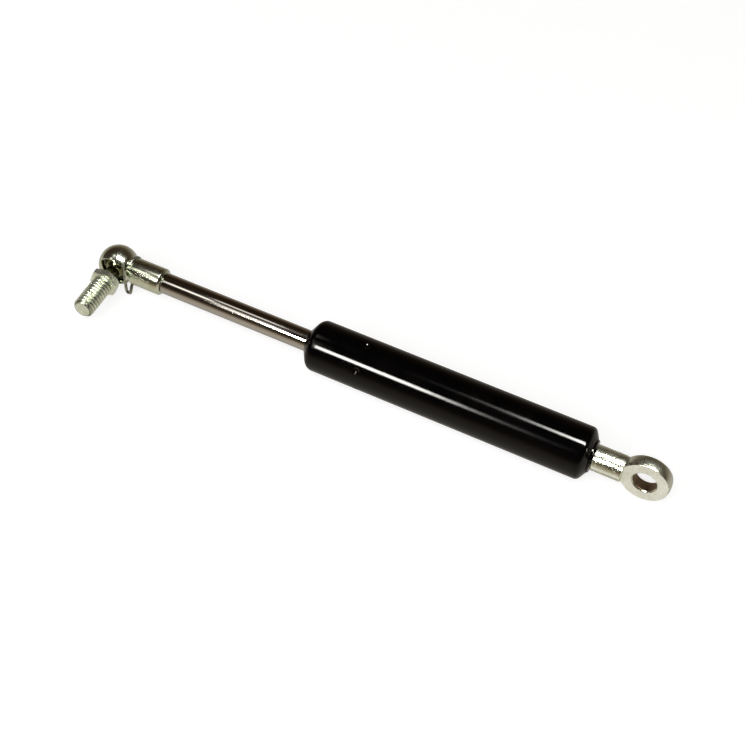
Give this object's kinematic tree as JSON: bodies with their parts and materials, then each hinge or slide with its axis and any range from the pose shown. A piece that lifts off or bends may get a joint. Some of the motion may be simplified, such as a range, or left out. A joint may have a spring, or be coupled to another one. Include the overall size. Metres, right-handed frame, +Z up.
{
  "type": "gas strut stay",
  "caption": "Short gas spring stay with a black pressure tube, a chrome rod, a plain eyelet at the tube end and an angle ball joint with a threaded stud at the rod end.",
  "frame": {"origin": "centre of the eyelet's hole", "axes": "X along the strut with the rod end at -X, Y along the eyelet's hole with the ball stud pointing to -Y, Z up"},
  "size_m": [0.2257, 0.0358, 0.0192],
  "materials": {
    "black_paint": "gloss black paint on steel",
    "chrome": "polished hard chrome",
    "zinc_plate": "bright zinc plate, faintly yellow green",
    "plated_steel": "plain turned steel",
    "spring_steel": "drawn spring wire",
    "brass": "machined brass",
    "seal_rubber": "black nitrile",
    "bearing_lining": "grey bearing lining",
    "nylon": "natural nylon"
  },
  "bodies": {
    "cylinder": {"pressure_tube": "black_paint", "closing_ring": "plated_steel", "wiper_ring": "seal_rubber", "rod_guide": "brass", "guide_o_ring": "seal_rubber", "guide_bush": "bearing_lining", "rod_seal": "seal_rubber", "seal_support_washer": "plated_steel", "end_plug": "black_paint", "end_plug_o_ring": "seal_rubber", "eyelet": "zinc_plate"},
    "sliding_ring": {"piston_ring": "nylon"},
    "rod": {"piston_rod": "chrome", "stop_collar": "plated_steel", "piston": "brass", "labyrinth_disc": "plated_steel", "piston_washer": "plated_steel", "ball_socket": "zinc_plate", "safety_clip": "spring_steel"},
    "ball_seat": {"ball_retaining_ring": "spring_steel"},
    "stud": {"ball_stud": "zinc_plate"}
  },
  "joints": [
    {"name": "rod_slide", "type": "slide", "parent": "cylinder", "child": "sliding_ring", "axis": [1, 0, 0], "range_m": [0, 0.057], "stiffness_N_per_m": 10, "springref_m": -0.2},
    {"name": "rod_spin", "type": "hinge", "parent": "sliding_ring", "child": "rod", "pos_m": [-0.101, 0, 0], "axis": [1, 0, 0], "continuous": true},
    {"name": "ball_spin", "type": "hinge", "parent": "rod", "child": "ball_seat", "pos_m": [-0.2095, 0, 0], "axis": [0, -1, 0], "continuous": true},
    {"name": "ball_tilt", "type": "hinge", "parent": "ball_seat", "child": "stud", "pos_m": [-0.2095, 0, 0], "axis": [0, 0, 1], "range_deg": [-21.5, 14.5]}
  ]
}
